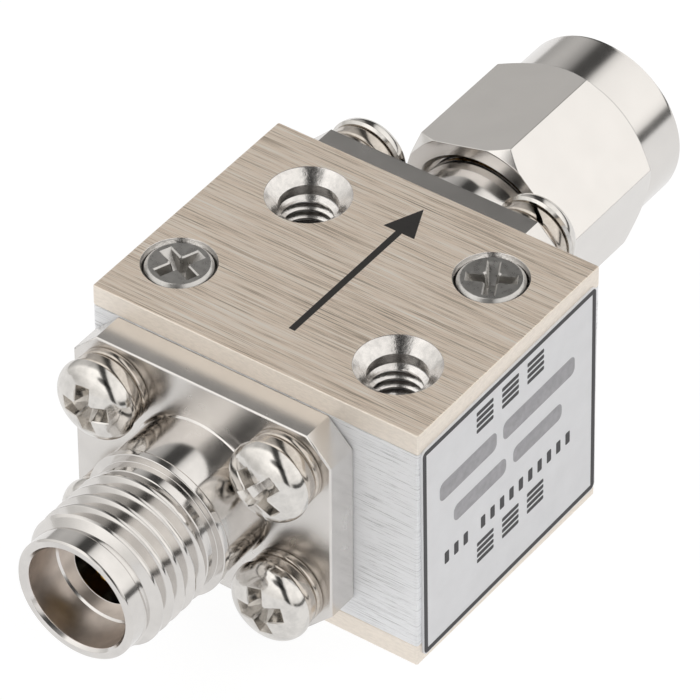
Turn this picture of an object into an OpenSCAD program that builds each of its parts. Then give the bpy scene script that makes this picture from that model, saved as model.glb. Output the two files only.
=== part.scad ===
// In-line coaxial isolator: a milled block between two cover plates, with a
// screw-on jack at the front (-Y), a screw-on plug with a free-turning hex
// nut at the rear (+Y), and the magnetic junction sealed inside.
// Millimetres. Z is up, Y runs along the connectors. The origin is on the
// underside of the bottom plate, straight below the connector axis.

/* [Block] */
// Width of the block across X
body_w = 15.7; // [15.2:0.1:18]
// Depth of the block between the two flanges
body_d = 12.5; // [12.4:0.1:14]
// Height of the milled housing between the cover plates
housing_h = 10.1; // [10:0.1:12]
// Thickness of each cover plate
plate_t = 1.0; // [1:0.05:1.2]
// Distance from the left face to the connector axis
axis_inset = 6.4; // [6.3:0.05:6.8]

/* [Cover plate holes] */
// Distance of every plate hole from the front or rear edge
hole_edge_y = 3.05; // [3:0.05:3.3]
// Distance of the two right-hand holes from the right edge
hole_edge_right = 3.1; // [3:0.05:3.4]
// Distance of the left-hand cover screw from the left edge
screw_edge_left = 2.0; // [1.9:0.05:2.2]
// Distance of the left-hand mounting hole from the left edge
mount_edge_left = 3.7; // [3.5:0.05:3.8]
// Diameter of the tapped mounting holes
mount_d = 2.5; // [2:0.1:2.6]
// Depth of the tapped mounting holes below the cover plate
mount_depth = 3.1; // [2:0.1:3.2]
// Width of the countersink over each mounting hole
mount_sink_d = 3.54; // [3.2:0.02:3.6]

/* [Cover screws] */
// Diameter of the countersunk head
cover_head_d = 2.84; // [2.7:0.02:3]
// Width of the countersink that the head sits in
cover_sink_d = 3.26; // [3.2:0.02:3.3]
// Nominal thread diameter
cover_thread_d = 1.6; // [1.4:0.1:1.6]
// Length of the screw below the top of its head
cover_screw_l = 3.6; // [3:0.1:4]

/* [Flanges] */
// Width of both flanges
flange_w = 12.5; // [12.4:0.1:12.7]
// Leg of the 45 degree corner chamfers
flange_chamfer = 1.15; // [1:0.05:1.3]
// Thickness of the jack's flange
jack_flange_t = 1.55; // [1.5:0.05:1.7]
// Thickness of the plug's flange
plug_flange_t = 1.75; // [1.6:0.05:1.8]
// Spacing of the flange screws across X
screw_pitch_x = 8.4; // [8.3:0.05:8.5]
// Spacing of the flange screws up and down
screw_pitch_z = 6.3; // [6.3:0.05:6.4]

/* [Flange screws] */
// Nominal thread diameter
pan_thread_d = 2.0; // [1.8:0.1:2]
// Diameter of the pan head
pan_head_d = 3.74; // [3.6:0.02:3.8]
// Height of the pan head
pan_head_h = 1.5; // [1.4:0.05:1.6]
// Length under the head
pan_screw_l = 4.0; // [3.6:0.1:4]
// Outside diameter of the flat washers
flat_washer_d = 3.8; // [3.7:0.05:3.8]
// Thickness of the flat washers
flat_washer_t = 0.3; // [0.25:0.05:0.3]
// Outside diameter of the split spring washers
spring_washer_d = 3.6; // [3.5:0.05:3.6]
// Thickness of the split spring washers
spring_washer_t = 0.5; // [0.4:0.05:0.5]

/* [Jack] */
// Length of the jack from the block to its rim
jack_l = 9.9; // [9.8:0.05:10.2]
// Major diameter of the coupling thread, 36 turns to the inch
thread_d = 6.3; // [6.2:0.02:6.32]
// Diameter of the smooth boss behind the thread
boss_d = 6.5; // [6.4:0.05:6.6]
// Diameter of the entry bore that the mating sleeve slides into
entry_d = 4.67; // [4.64:0.01:4.7]
// Depth of the entry bore
entry_depth = 1.95; // [1.9:0.01:2]

/* [Coaxial line] */
// Inside diameter of the outer conductor, an air line
line_d = 2.92; // [2.92]
// Diameter of the inner conductor
inner_d = 1.27; // [1.27]
// Diameter of the plug's centre pin
pin_d = 0.91; // [0.91]
// Diameter of the support beads
bead_d = 3.5; // [3.4:0.05:3.6]

/* [Plug] */
// Diameter of the plug's barrel inside the nut
barrel_d = 5.56; // [5.5:0.01:5.6]
// Diameter of the mating sleeve
sleeve_d = 4.6; // [4.59:0.01:4.62]
// Distance from the block to the end of the mating sleeve
plug_l = 11.55; // [11.4:0.05:11.6]

/* [Coupling nut] */
// Width across the flats of the hexagon
nut_flats = 8.0; // [7.94:0.02:8]
// Distance from the block to the near end of the nut
nut_start = 4.75; // [4.7:0.05:4.8]
// Length of the hexagon
nut_hex_l = 7.0; // [6.8:0.1:7.2]
// Length of the round end
nut_round_l = 2.4; // [2.2:0.1:2.6]
// Diameter of the round end
nut_round_d = 7.86; // [7.8:0.02:7.9]
// Turn of the hexagon about its axis at rest, in degrees
nut_turn = 15; // [0:1:59]
// Axial play of the nut on its retaining ring
nut_play = 0.3; // [0.2:0.05:0.3]

/* [Label] */
// Length of the label along Y
label_l = 12.05; // [11.8:0.05:12.1]
// Height of the label
label_h = 10.85; // [10.6:0.05:10.9]
// Thickness of the label
label_t = 0.1; // [0.1:0.02:0.2]
// Tilt of the label as it was stuck on, in degrees
label_tilt = 1.0; // [0:0.1:1.2]

/* [Hidden] */
$fn = 64;
eps = 0.01;

left = -axis_inset;
right = body_w - axis_inset;
centre_x = (left + right) / 2;
half_d = body_d / 2;
top = housing_h + 2 * plate_t;
axis_z = top / 2;

cover_screw_spots = [
    [left + screw_edge_left, -half_d + hole_edge_y],
    [right - hole_edge_right, half_d - hole_edge_y]
];
cover_screw_turns = [28, 4];
mount_spots = [
    [left + mount_edge_left, half_d - hole_edge_y],
    [right - hole_edge_right, -half_d + hole_edge_y]
];
cover_lip = 0.12;
cover_clear_r = 0.9;
cover_recess_d = 1.9;
cover_head_rim = 0.1;
cover_sink_l = (cover_sink_d - cover_head_d) / 2 + cover_lip;

flange_spots = [for (sx = [-1, 1], sz = [-1, 1]) [sx * screw_pitch_x / 2, sz * screw_pitch_z / 2]];
flange_screw_turns = [35, 70, 12, 50];
flange_hole_d = 2.2;
flange_tap_depth = 1.85;

junction_r = 3.3;
junction_gap = 0.1;
pole_t = 1.0;
ferrite_r = 2.6;
ferrite_t = 0.95;
strip_t = 0.2;
strip_w = 0.9;
strip_disc_r = 1.6;
channel_w = 2.2;
channel_h = 2 * ferrite_t + strip_t;
strip_end = half_d - 1.35;
load_l = 2.8;
load_w = 2.2;
load_x = right - 1.1 - load_l;
magnet_t = (housing_h - channel_h) / 2 - pole_t;

boss_l = 2.5;
collar_d = 6.7;
collar_l = 0.25;
land_d = 6.0;
land_l = 0.7;
relief_d = 5.3;
relief_l = 0.3;
nose_d = 5.4;
nose_l = 0.6;
thread_lead = 0.4;
bead_l = 1.75;
bead_hole_r = 0.43;
tail_r = 0.3;

ring_t = 0.45;
ring_od = 6.4;
ring_id = 4.84;
ring_groove_d = 4.7;
ring_z = nut_start + 1.5;
nut_lip_d = 6.1;
nut_groove_d = 6.66;
nut_minor_d = 5.7;
nut_relief_d = 6.5;
nut_l = nut_hex_l + nut_round_l;

// Places a piece drawn upright so that it points out of the front face
module at_front() {
    translate([0, -half_d, axis_z]) rotate([90, 0, 0]) children();
}

// Places a piece drawn upright so that it points out of the rear face
module at_rear() {
    translate([0, half_d, axis_z]) rotate([-90, 0, 0]) children();
}

// Turns the block over about its middle, so that a top piece becomes the bottom one
module at_bottom() {
    translate([0, 0, top]) mirror([0, 0, 1]) children();
}

// Body of revolution from a list of [radius, height] points
module turned(points) {
    rotate_extrude() polygon(points);
}

module disc(r, z0, z1) {
    translate([0, 0, z0]) cylinder(r = r, h = z1 - z0);
}

// Tapered cross recess, cut downwards from z = 0
module cross_recess(span, depth, turn) {
    rotate([0, 0, turn]) intersection() {
        union() {
            translate([-span / 2, -span * 0.13, -depth]) cube([span, span * 0.26, depth + eps]);
            translate([-span * 0.13, -span / 2, -depth]) cube([span * 0.26, span, depth + eps]);
        }
        translate([0, 0, -depth]) cylinder(r1 = span * 0.22, r2 = span / 2 + eps, h = depth + eps);
    }
}

// Block and covers

// Vertical holes that the top and bottom of the housing share
module housing_holes() {
    for (p = cover_screw_spots) translate([p[0], p[1], top - plate_t - cover_screw_l])
        cylinder(d = cover_thread_d, h = cover_screw_l + 1);
    for (p = mount_spots) translate([p[0], p[1], top - plate_t - mount_depth])
        cylinder(d = mount_d, h = mount_depth + 1);
}

module flange_taps() {
    for (p = flange_spots) translate([p[0], p[1], -flange_tap_depth])
        cylinder(d = pan_thread_d, h = flange_tap_depth + 1);
}

module housing() {
    color("#c9cbcd") difference() {
        translate([left, -half_d, plate_t]) cube([body_w, body_d, housing_h]);
        translate([centre_x, 0, 0]) cylinder(r = junction_r + junction_gap, h = top);
        translate([-channel_w / 2, -half_d - 1, axis_z - channel_h / 2])
            cube([channel_w, body_d + 2, channel_h]);
        translate([centre_x, -load_w / 2 - 0.1, axis_z - channel_h / 2])
            cube([load_x + load_l + 0.1 - centre_x, load_w + 0.2, channel_h]);
        housing_holes();
        at_bottom() housing_holes();
        at_front() flange_taps();
        at_rear() flange_taps();
    }
}

module top_plate() {
    color("#c4b9ab") difference() {
        translate([left, -half_d, top - plate_t]) cube([body_w, body_d, plate_t]);
        for (p = cover_screw_spots) translate([p[0], p[1], top]) {
            disc(cover_clear_r, -plate_t - 1, 1);
            disc(cover_sink_d / 2, -cover_lip, 1);
            sink_l = cover_sink_d / 2 - cover_clear_r;
            translate([0, 0, -cover_lip - sink_l])
                cylinder(r1 = cover_clear_r, r2 = cover_sink_d / 2, h = sink_l);
        }
        for (p = mount_spots) translate([p[0], p[1], top]) {
            disc(mount_d / 2, -plate_t - 1, 1);
            sink_l = (mount_sink_d - mount_d) / 2;
            translate([0, 0, -sink_l]) cylinder(r1 = mount_d / 2, r2 = mount_sink_d / 2, h = sink_l);
        }
    }
}

module bottom_plate() {
    at_bottom() top_plate();
}

// Countersunk screw with the top of its head at z = 0
module cover_screw(turn) {
    head_r = cover_head_d / 2;
    shank_r = cover_thread_d / 2 - 0.02;
    color("#a9a7a5") difference() {
        turned([
            [0, 0], [head_r, 0], [head_r, -cover_head_rim],
            [shank_r, -cover_head_rim - head_r + shank_r],
            [shank_r, -cover_screw_l + 0.3], [shank_r - 0.3, -cover_screw_l], [0, -cover_screw_l]
        ]);
        cross_recess(cover_recess_d, 0.75, turn);
    }
}

module top_cover_screws() {
    for (i = [0, 1]) translate([cover_screw_spots[i][0], cover_screw_spots[i][1],
        top - cover_sink_l + cover_head_rim + eps]) cover_screw(cover_screw_turns[i]);
}

module bottom_cover_screws() {
    at_bottom() top_cover_screws();
}

// Magnetic junction

module magnet() {
    color("#b9bbbd") translate([centre_x, 0, top - plate_t - magnet_t])
        cylinder(r = junction_r, h = magnet_t);
}

module pole_piece() {
    color("#9a9c9e") translate([centre_x, 0, axis_z + channel_h / 2])
        cylinder(r = junction_r, h = pole_t);
}

module ferrite() {
    color("#3a3a3c") translate([centre_x, 0, axis_z + strip_t / 2])
        cylinder(r = ferrite_r, h = ferrite_t);
}

module top_magnet() { magnet(); }
module bottom_magnet() { at_bottom() magnet(); }
module top_pole_piece() { pole_piece(); }
module bottom_pole_piece() { at_bottom() pole_piece(); }
module top_ferrite() { ferrite(); }
module bottom_ferrite() { at_bottom() ferrite(); }

// Straight run of strip between two points, with round ends
module strip_run(a, b) {
    run = b - a;
    translate(a) rotate(atan2(run[1], run[0]))
        translate([0, -strip_w / 2]) square([norm(run), strip_w]);
    translate(b) circle(d = strip_w);
}

// Three arms at 120 degrees: two bend back to the connectors, one ends on the load
module centre_conductor() {
    centre = [centre_x, 0];
    bend_y = centre_x * tan(60);
    color("#c98f4e") translate([0, 0, axis_z - strip_t / 2]) linear_extrude(strip_t) difference() {
        union() {
            translate(centre) circle(r = strip_disc_r);
            strip_run(centre, [load_x + load_l - 0.6, 0]);
            for (s = [-1, 1]) {
                strip_run(centre, [0, s * bend_y]);
                strip_run([0, s * bend_y], [0, s * strip_end]);
            }
        }
        for (s = [-1, 1]) translate([0, s * (strip_end + 1)]) square([3, 2], center = true);
    }
}

module load() {
    color("#e4e2dc") translate([load_x, -load_w / 2, axis_z - channel_h / 2])
        cube([load_l, load_w, ferrite_t]);
}

module label() {
    r = 0.4;
    color("#dcdcdf") translate([right, 0, top / 2 - 0.2]) rotate([90, 0, 90])
        rotate(label_tilt) linear_extrude(label_t) union() {
            square([label_l - 2 * r, label_h], center = true);
            square([label_l, label_h - 2 * r], center = true);
            for (sx = [-1, 1], sy = [-1, 1])
                translate([sx * (label_l / 2 - r), sy * (label_h / 2 - r)]) circle(r);
        }
}

// Flange and its fasteners, drawn on the block's face at z = 0

module flange_outline() {
    w = flange_w / 2;
    h = housing_h / 2;
    c = flange_chamfer;
    polygon([
        [-w + c, -h], [w - c, -h], [w, -h + c], [w, h - c],
        [w - c, h], [-w + c, h], [-w, h - c], [-w, -h + c]
    ]);
}

module flange(t) {
    linear_extrude(t) difference() {
        flange_outline();
        for (p = flange_spots) translate(p) circle(d = flange_hole_d);
    }
}

// Pan head screw with the underside of its head at z = 0
module pan_screw(turn) {
    r = pan_head_d / 2;
    edge = 0.75;
    crown = 3.2;
    shank_r = pan_thread_d / 2 - 0.03;
    color("#b7b4b0") difference() {
        union() {
            rotate_extrude() intersection() {
                union() {
                    square([r, pan_head_h - edge]);
                    square([r - edge, pan_head_h]);
                    translate([r - edge, pan_head_h - edge]) circle(edge);
                }
                translate([0, pan_head_h - crown]) circle(crown);
                square([r, pan_head_h]);
            }
            turned([
                [0, eps], [shank_r, eps], [shank_r, -pan_screw_l + 0.3],
                [shank_r - 0.3, -pan_screw_l], [0, -pan_screw_l]
            ]);
        }
        translate([0, 0, pan_head_h]) cross_recess(2.2, 1.05, turn);
    }
}

// Split ring washer with its lower face at z = 0
module split_washer(d, hole_d, t, turn) {
    color("#a8a49f") difference() {
        cylinder(d = d, h = t);
        translate([0, 0, -1]) cylinder(d = hole_d, h = t + 2);
        rotate([0, 0, turn]) translate([d / 4, 0, t / 2]) rotate([25, 0, 0])
            cube([d / 2, 0.22, 3 * t], center = true);
    }
}

module plain_washer(d, hole_d, t) {
    color("#b3afaa") difference() {
        cylinder(d = d, h = t);
        translate([0, 0, -1]) cylinder(d = hole_d, h = t + 2);
    }
}

module flange_screws(t) {
    for (i = [0:3]) translate([flange_spots[i][0], flange_spots[i][1],
        t + flat_washer_t + spring_washer_t]) pan_screw(flange_screw_turns[i]);
}

module spring_washers(t) {
    for (i = [0:3]) translate([flange_spots[i][0], flange_spots[i][1], t + flat_washer_t])
        split_washer(spring_washer_d, 2.1, spring_washer_t, 200 + 40 * i);
}

module flat_washers(t) {
    for (p = flange_spots) translate([p[0], p[1], t])
        plain_washer(flat_washer_d, 2.15, flat_washer_t);
}

// Jack

module jack_barrel() {
    t = jack_flange_t;
    boss_end = t + boss_l;
    collar_end = boss_end + collar_l;
    land_end = collar_end + land_l;
    thread_start = land_end + relief_l;
    nose_start = jack_l - nose_l;
    chamfer = (thread_d - relief_d) / 2 * 0.6;
    turned([
        [0, 0], [boss_d / 2 + 0.08, 0], [boss_d / 2 + 0.08, t + 0.15], [boss_d / 2, t + 0.25],
        [boss_d / 2, boss_end], [collar_d / 2, boss_end + 0.08], [collar_d / 2, collar_end],
        [land_d / 2, collar_end + 0.06], [land_d / 2, land_end], [relief_d / 2, land_end + 0.1],
        [relief_d / 2, thread_start - 0.05], [thread_d / 2, thread_start + chamfer],
        [thread_d / 2, nose_start - thread_lead], [nose_d / 2, nose_start],
        [nose_d / 2, jack_l - 0.08], [nose_d / 2 - 0.08, jack_l], [0, jack_l]
    ]);
}

module jack_shell() {
    color("#c7c5c2") at_front() difference() {
        union() {
            flange(jack_flange_t);
            jack_barrel();
        }
        disc(entry_d / 2, jack_l - entry_depth, jack_l + 1);
        disc(line_d / 2, bead_l - eps, jack_l);
        disc(bead_d / 2, -1, bead_l);
        translate([0, 0, jack_l - 0.1])
            cylinder(r1 = entry_d / 2, r2 = entry_d / 2 + 0.15, h = 0.15);
    }
}

module bead() {
    color("#ece9e2") difference() {
        cylinder(d = bead_d, h = bead_l);
        translate([0, 0, -1]) cylinder(r = bead_hole_r, h = bead_l + 2);
    }
}

module jack_bead() { at_front() bead(); }
module plug_bead() { at_rear() bead(); }

// Slotted socket: four springy tines around the hole that takes the mating pin
module jack_contact() {
    tip = jack_l - entry_depth - 0.1;
    color("#d8a63e") at_front() difference() {
        turned([
            [0, -(half_d - strip_end)], [tail_r, -(half_d - strip_end)], [tail_r, 0],
            [bead_hole_r, 0], [bead_hole_r, bead_l], [inner_d / 2, bead_l],
            [inner_d / 2, tip - 0.12], [inner_d / 2 - 0.12, tip], [0, tip]
        ]);
        translate([0, 0, tip - 2.3]) cylinder(r = 0.44, h = 3);
        translate([0, 0, tip - 0.12]) cylinder(r1 = 0.44, r2 = 0.56, h = 0.13);
        for (a = [45, 135]) rotate([0, 0, a])
            translate([-2, -0.08, tip - 2.1]) cube([4, 0.16, 3]);
    }
}

module jack_screws() { at_front() flange_screws(jack_flange_t); }
module jack_spring_washers() { at_front() spring_washers(jack_flange_t); }
module jack_flat_washers() { at_front() flat_washers(jack_flange_t); }

// Plug

module plug_shell() {
    t = plug_flange_t;
    r = barrel_d / 2;
    groove_r = ring_groove_d / 2;
    shoulder = 9.2;
    color("#c7c5c2") at_rear() difference() {
        union() {
            flange(t);
            turned([
                [0, 0], [r + 0.5, 0], [r + 0.5, t + 0.3], [r, t + 0.55],
                [r, ring_z - 0.05], [groove_r, ring_z - 0.05],
                [groove_r, ring_z + ring_t + nut_play + 0.05],
                [r, ring_z + ring_t + nut_play + 0.05], [r, shoulder - 0.15],
                [r - 0.15, shoulder], [sleeve_d / 2, shoulder],
                [sleeve_d / 2, plug_l - 0.12], [sleeve_d / 2 - 0.12, plug_l], [0, plug_l]
            ]);
        }
        disc(line_d / 2, bead_l - eps, plug_l + 1);
        disc(bead_d / 2, -1, bead_l);
    }
}

module plug_pin() {
    color("#d8a63e") at_rear() turned([
        [0, -(half_d - strip_end)], [tail_r, -(half_d - strip_end)], [tail_r, 0],
        [bead_hole_r, 0], [bead_hole_r, bead_l], [inner_d / 2, bead_l],
        [inner_d / 2, plug_l - 0.05], [pin_d / 2, plug_l - 0.05],
        [pin_d / 2, plug_l + 0.85], [0.12, plug_l + 1.3], [0, plug_l + 1.3]
    ]);
}

// Open spring ring that keeps the nut on the barrel
module retaining_ring() {
    color("#b98d48") at_rear() translate([0, 0, ring_z]) difference() {
        cylinder(d = ring_od, h = ring_t);
        translate([0, 0, -1]) cylinder(d = ring_id, h = ring_t + 2);
        translate([0, -0.6, -1]) cube([ring_od, 1.2, ring_t + 2]);
    }
}

// Hexagon with both ends turned to a cone, a groove for the ring and a threaded mouth
module coupling_nut() {
    corner_r = nut_flats / sqrt(3);
    near_r = nut_flats / 2 - 0.25;
    far_r = nut_round_d / 2;
    edge = 0.35;
    mouth = nut_l - 3.95;
    color("#c9c7c4") at_rear() translate([0, 0, nut_start]) difference() {
        union() {
            intersection() {
                rotate([0, 0, -nut_turn]) cylinder(r = corner_r, h = nut_hex_l, $fn = 6);
                turned([
                    [0, 0], [near_r, 0], [corner_r + 0.1, corner_r + 0.1 - near_r],
                    [corner_r + 0.1, nut_hex_l - 1.4], [far_r, nut_hex_l], [0, nut_hex_l]
                ]);
            }
            rotate_extrude() translate([0, nut_hex_l - eps]) intersection() {
                union() {
                    square([far_r, nut_round_l - edge]);
                    square([far_r - edge, nut_round_l + eps]);
                    translate([far_r - edge, nut_round_l - edge + eps]) circle(edge);
                }
                square([far_r, nut_round_l + eps]);
            }
        }
        disc(nut_lip_d / 2, -1, 2);
        disc(nut_groove_d / 2, 1.45, 1.45 + ring_t + 0.1);
        disc(nut_lip_d / 2, 1.9, mouth - 1);
        disc(nut_relief_d / 2, mouth - 1.2, mouth);
        disc(nut_minor_d / 2, mouth - eps, nut_l + 1);
        translate([0, 0, nut_l - 0.4])
            cylinder(r1 = nut_minor_d / 2, r2 = nut_minor_d / 2 + 0.5, h = 0.5);
    }
}

module plug_screws() { at_rear() flange_screws(plug_flange_t); }
module plug_spring_washers() { at_rear() spring_washers(plug_flange_t); }
module plug_flat_washers() { at_rear() flat_washers(plug_flange_t); }

housing();
top_plate();
bottom_plate();
top_magnet();
bottom_magnet();
top_pole_piece();
bottom_pole_piece();
top_ferrite();
bottom_ferrite();
centre_conductor();
load();
label();
jack_shell();
jack_bead();
jack_contact();
jack_screws();
jack_spring_washers();
jack_flat_washers();
plug_shell();
plug_bead();
plug_pin();
retaining_ring();
coupling_nut();
plug_screws();
plug_spring_washers();
plug_flat_washers();
top_cover_screws();
bottom_cover_screws();
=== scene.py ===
"""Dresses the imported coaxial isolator: turned, milled and brushed metal pieces drawn over its solids.

Shapes are drawn in millimetres, upright, and then put in place. Every finished mesh is in metres.
"""

import math

import bmesh
import bpy
from mathutils import Matrix, Vector


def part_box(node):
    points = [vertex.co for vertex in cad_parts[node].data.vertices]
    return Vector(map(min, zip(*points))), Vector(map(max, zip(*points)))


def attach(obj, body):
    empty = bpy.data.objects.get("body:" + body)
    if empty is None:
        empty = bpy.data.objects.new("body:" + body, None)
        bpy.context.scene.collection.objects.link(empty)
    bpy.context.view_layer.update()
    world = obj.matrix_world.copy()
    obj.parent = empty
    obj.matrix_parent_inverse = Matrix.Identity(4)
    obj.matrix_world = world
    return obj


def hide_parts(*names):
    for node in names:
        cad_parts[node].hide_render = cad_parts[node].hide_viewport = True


bl_info = {
    "name": "Coaxial isolator dressing",
    "version": (1, 0, 0),
    "blender": (4, 5, 0),
    "location": "3D View > Sidebar > Isolator",
    "description": "Builds the detailed metal pieces, label and stage of a small coaxial isolator",
    "category": "Object",
}

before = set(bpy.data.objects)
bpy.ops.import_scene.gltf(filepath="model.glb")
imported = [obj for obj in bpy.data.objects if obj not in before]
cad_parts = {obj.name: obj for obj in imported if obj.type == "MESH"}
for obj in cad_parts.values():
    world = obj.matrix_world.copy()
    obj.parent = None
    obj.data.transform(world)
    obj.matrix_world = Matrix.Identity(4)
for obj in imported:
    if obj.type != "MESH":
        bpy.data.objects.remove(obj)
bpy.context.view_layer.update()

MM = 0.001
TURN = 2 * math.pi
WHITE = (1, 1, 1, 1)


def linear(code):
    """Linear red, green and blue of an sRGB hex colour."""
    parts = [int(code[i:i + 2], 16) / 255 for i in (0, 2, 4)]
    return tuple(p / 12.92 if p <= 0.04045 else ((p + 0.055) / 1.055) ** 2.4 for p in parts)


def opaque(code):
    """An sRGB hex colour as linear values with full alpha."""
    return (*linear(code), 1)


def node_box(node):
    """Lowest and highest corner of a CAD node, in millimetres."""
    low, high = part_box(node)
    return low / MM, high / MM


def distance(name, description, default):
    """A length property whose default is given in millimetres."""
    return bpy.props.FloatProperty(
        name=name, description=description, default=default * MM, min=0, precision=6,
        subtype="DISTANCE", unit="LENGTH",
    )


def tint(name, description, code):
    """A colour property whose default is an sRGB hex colour."""
    return bpy.props.FloatVectorProperty(
        name=name, description=description, default=linear(code), size=3, min=0, max=1,
        subtype="COLOR",
    )


class IsolatorSizes(bpy.types.PropertyGroup):
    """Sizes of the fine detail and the print that the solids leave out."""

    thread_pitch: distance("Coupling thread pitch", "36 turns to the inch", 0.7056)
    thread_depth: distance("Coupling thread depth", "Crest to root of the coupling thread", 0.4)
    thread_crest: distance("Coupling thread crest", "Flat on the crest of the coupling thread", 0.14)
    tap_pitch: distance("Mounting thread pitch", "Pitch of the threads in the mounting holes", 0.45)
    tap_depth: distance("Mounting thread depth", "Crest to root in the mounting holes", 0.23)
    edge: distance("Edge rounding", "Rounding of the turned edges", 0.05)
    plate_edge: distance("Plate edge rounding", "Rounding of the cover plates' edges", 0.06)
    brush_gap: distance("Brushed line spacing", "Distance between the lines on the covers", 0.045)
    brush_length: distance("Brushed line length", "Length of the lines on the covers", 3.6)
    mill_gap: distance("Milled line spacing", "Distance between the cutter lines on the block", 0.05)
    turn_gap: distance("Turned line spacing", "Distance between the tool lines on turned pieces", 0.045)
    arrow_length: distance("Arrow length", "Length of the direction arrow on the top cover", 9.0)
    arrow_line: distance("Arrow line width", "Width of the arrow's shaft", 0.3)
    arrow_head: distance("Arrow head width", "Width of the arrow's head", 1.5)
    label_line: distance("Label border width", "Width of the printed border of the label", 0.24)


class IsolatorColours(bpy.types.PropertyGroup):
    """Colours of the finishes."""

    cover: tint("Covers", "Warm nickel of the cover plates", "FBECDC")
    cover_edge: tint("Cover edges", "Sheared and plated edges of the covers", "F5EDE3")
    # The darkest and lightest cover line colours are painted shade and painted glints laid on the real
    # brushed grain
    cover_painted_shade: tint("Cover lines", "Darkest brushed lines of the covers", "A29485")
    cover_painted_glint: tint("Cover glints", "Lightest brushed lines of the covers", "FFFBF4")
    block: tint("Block", "Milled aluminium of the block", "F7F8FA")
    steel: tint("Stainless steel", "Turned shells and nut", "E0DDDA")
    bored: tint("Bored steel", "Dull wall of the entry bore", "F0E6DE")
    screw: tint("Screws", "Bright nickel of the pan heads", "E0DDD9")
    cover_screw: tint("Cover screws", "Nickel of the countersunk screws", "C9C7C4")
    washer: tint("Washers", "Nickel of the washers", "CDC5BC")
    gold: tint("Gold", "Gold plating of the contacts", "E9BC5E")
    film: tint("Label film", "Silver grey film of the label", "ECEDF1")
    ink: tint("Ink", "Print on the label", "353337")
    soft_ink: tint("Soft ink", "Faint print on the label", "AFAEB3")
    arrow: tint("Arrow", "Print on the cover", "262422")
    floor: tint("Floor", "Pale studio floor", "E4E4E4")


def sizes():
    """The size settings in millimetres, by name."""
    group = bpy.context.scene.isolator_sizes
    return {name: getattr(group, name) / MM for name in IsolatorSizes.__annotations__}


def colour(name):
    """A colour setting with full alpha."""
    return (*getattr(bpy.context.scene.isolator_colours, name), 1)


# Faces of the block and covers and the connectors' axis, read from the solids

LABEL_LOW, LABEL_HIGH = node_box("label")
BLOCK_LOW, BLOCK_HIGH = node_box("housing")
COVER_LOW, COVER_HIGH = node_box("top_plate")
TOP = COVER_HIGH.z
AXIS_Z = TOP / 2
FRONT = Matrix.Translation((0, BLOCK_LOW.y, AXIS_Z)) @ Matrix.Rotation(math.pi / 2, 4, "X")
REAR = Matrix.Translation((0, BLOCK_HIGH.y, AXIS_Z)) @ Matrix.Rotation(-math.pi / 2, 4, "X")
UNDER = Matrix.Translation((0, 0, TOP)) @ Matrix.Scale(-1, 4, (0, 0, 1))

# Flanges and bores of both connectors, in millimetres

FLANGE_X = 6.25
FLANGE_Z = 5.05
FLANGE_CHAMFER = 1.15
JACK_FLANGE = 1.55
PLUG_FLANGE = 1.9
BEAD_R = 1.75
BEAD_DEPTH = 1.75
AIR_LINE_R = 1.46
ENTRY_R = 2.335
NUT_START = 5.2

# Pan head screws and washers: places, turns in degrees and sizes; two arcs make a head's dome

SCREW_SPOTS = [(-4.2, -3.15), (-4.2, 3.15), (4.2, -3.15), (4.2, 3.15)]
SCREW_TURNS = [35, 7, 15, 45]
SPLIT_TURNS = [200, 240, 280, 320]
FLAT_WASHER = 0.38
WASHER_R = 1.68
WASHER_BORE_R = 1.075
SPRING_WASHER = 0.67
SPRING_LIFT = 0.03
SPRING_R = 1.7
SPRING_BORE_R = 1.05
PAN_R = 1.82
PAN_HEIGHT = 1.15
PAN_FOOT = 0.1
PAN_EDGE = 0.75
PAN_INSET = PAN_R - PAN_EDGE
PAN_CROWN = (PAN_INSET ** 2 + (PAN_HEIGHT - PAN_FOOT) ** 2 - PAN_EDGE ** 2) / (
    2 * (PAN_HEIGHT - PAN_FOOT - PAN_EDGE))

# Holes of the covers: places, turns of their screws in degrees and sizes

COVER_SPOTS = [(BLOCK_LOW.x + 2.0, -3.2), (BLOCK_HIGH.x - 3.1, 3.2)]
COVER_TURNS = [68, 28]
COVER_SINK_R = 1.57
TAPPED_SPOTS = [(BLOCK_LOW.x + 3.7, 3.2), (BLOCK_HIGH.x - 3.1, -3.2)]
TAPPED_SINK = 0.52
TAPPED_SINK_R = 1.8
TAPPED_R = 1.25
TAPPED_END = 4.05

# The covers' faces stay this far inside the solids, so that the print on them does too
PRINT_ROOM = 0.004
# Corners closer than this become one
NEAR = 0.0002
# Least cosine between two faces that count as one flat
FLAT = 0.99999


def new_object(name, data):
    """Adds an object with this data to the scene."""
    item = bpy.data.objects.new(name, data)
    bpy.context.scene.collection.objects.link(item)
    return item


# Shapes

def add_shape(whole, shape, place=Matrix()):
    """Adds a shape that was drawn upright to a piece, at its place."""
    mesh = bpy.data.meshes.new("shape")
    bmesh.ops.transform(shape, matrix=place, verts=shape.verts)
    shape.to_mesh(mesh)
    shape.free()
    whole.from_mesh(mesh)
    bpy.data.meshes.remove(mesh)


def outline(shape, points, closed=True):
    """Joins (x, z) points by edges in order and gives their corners."""
    corners = [shape.verts.new((x, 0, z)) for x, z in points]
    for i in range(len(corners) if closed else len(corners) - 1):
        shape.edges.new((corners[i], corners[(i + 1) % len(corners)]))
    return corners


def spin(shape, angle, steps, rise=0, merge=False):
    """Turns a whole shape about Z; each step rises by this much."""
    bmesh.ops.spin(
        shape, geom=list(shape.verts) + list(shape.edges), cent=(0, 0, 0), axis=(0, 0, 1),
        dvec=(0, 0, rise), angle=angle, steps=steps, use_merge=merge,
    )


def round_off(shape, geom, offset, affect="EDGES", segments=3, clamp=False):
    """Bevels edges or corners by an offset."""
    bmesh.ops.bevel(
        shape, geom=geom, offset=offset, offset_type="OFFSET", segments=segments, profile=0.5,
        affect=affect, clamp_overlap=clamp, material=-1,
    )


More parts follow.
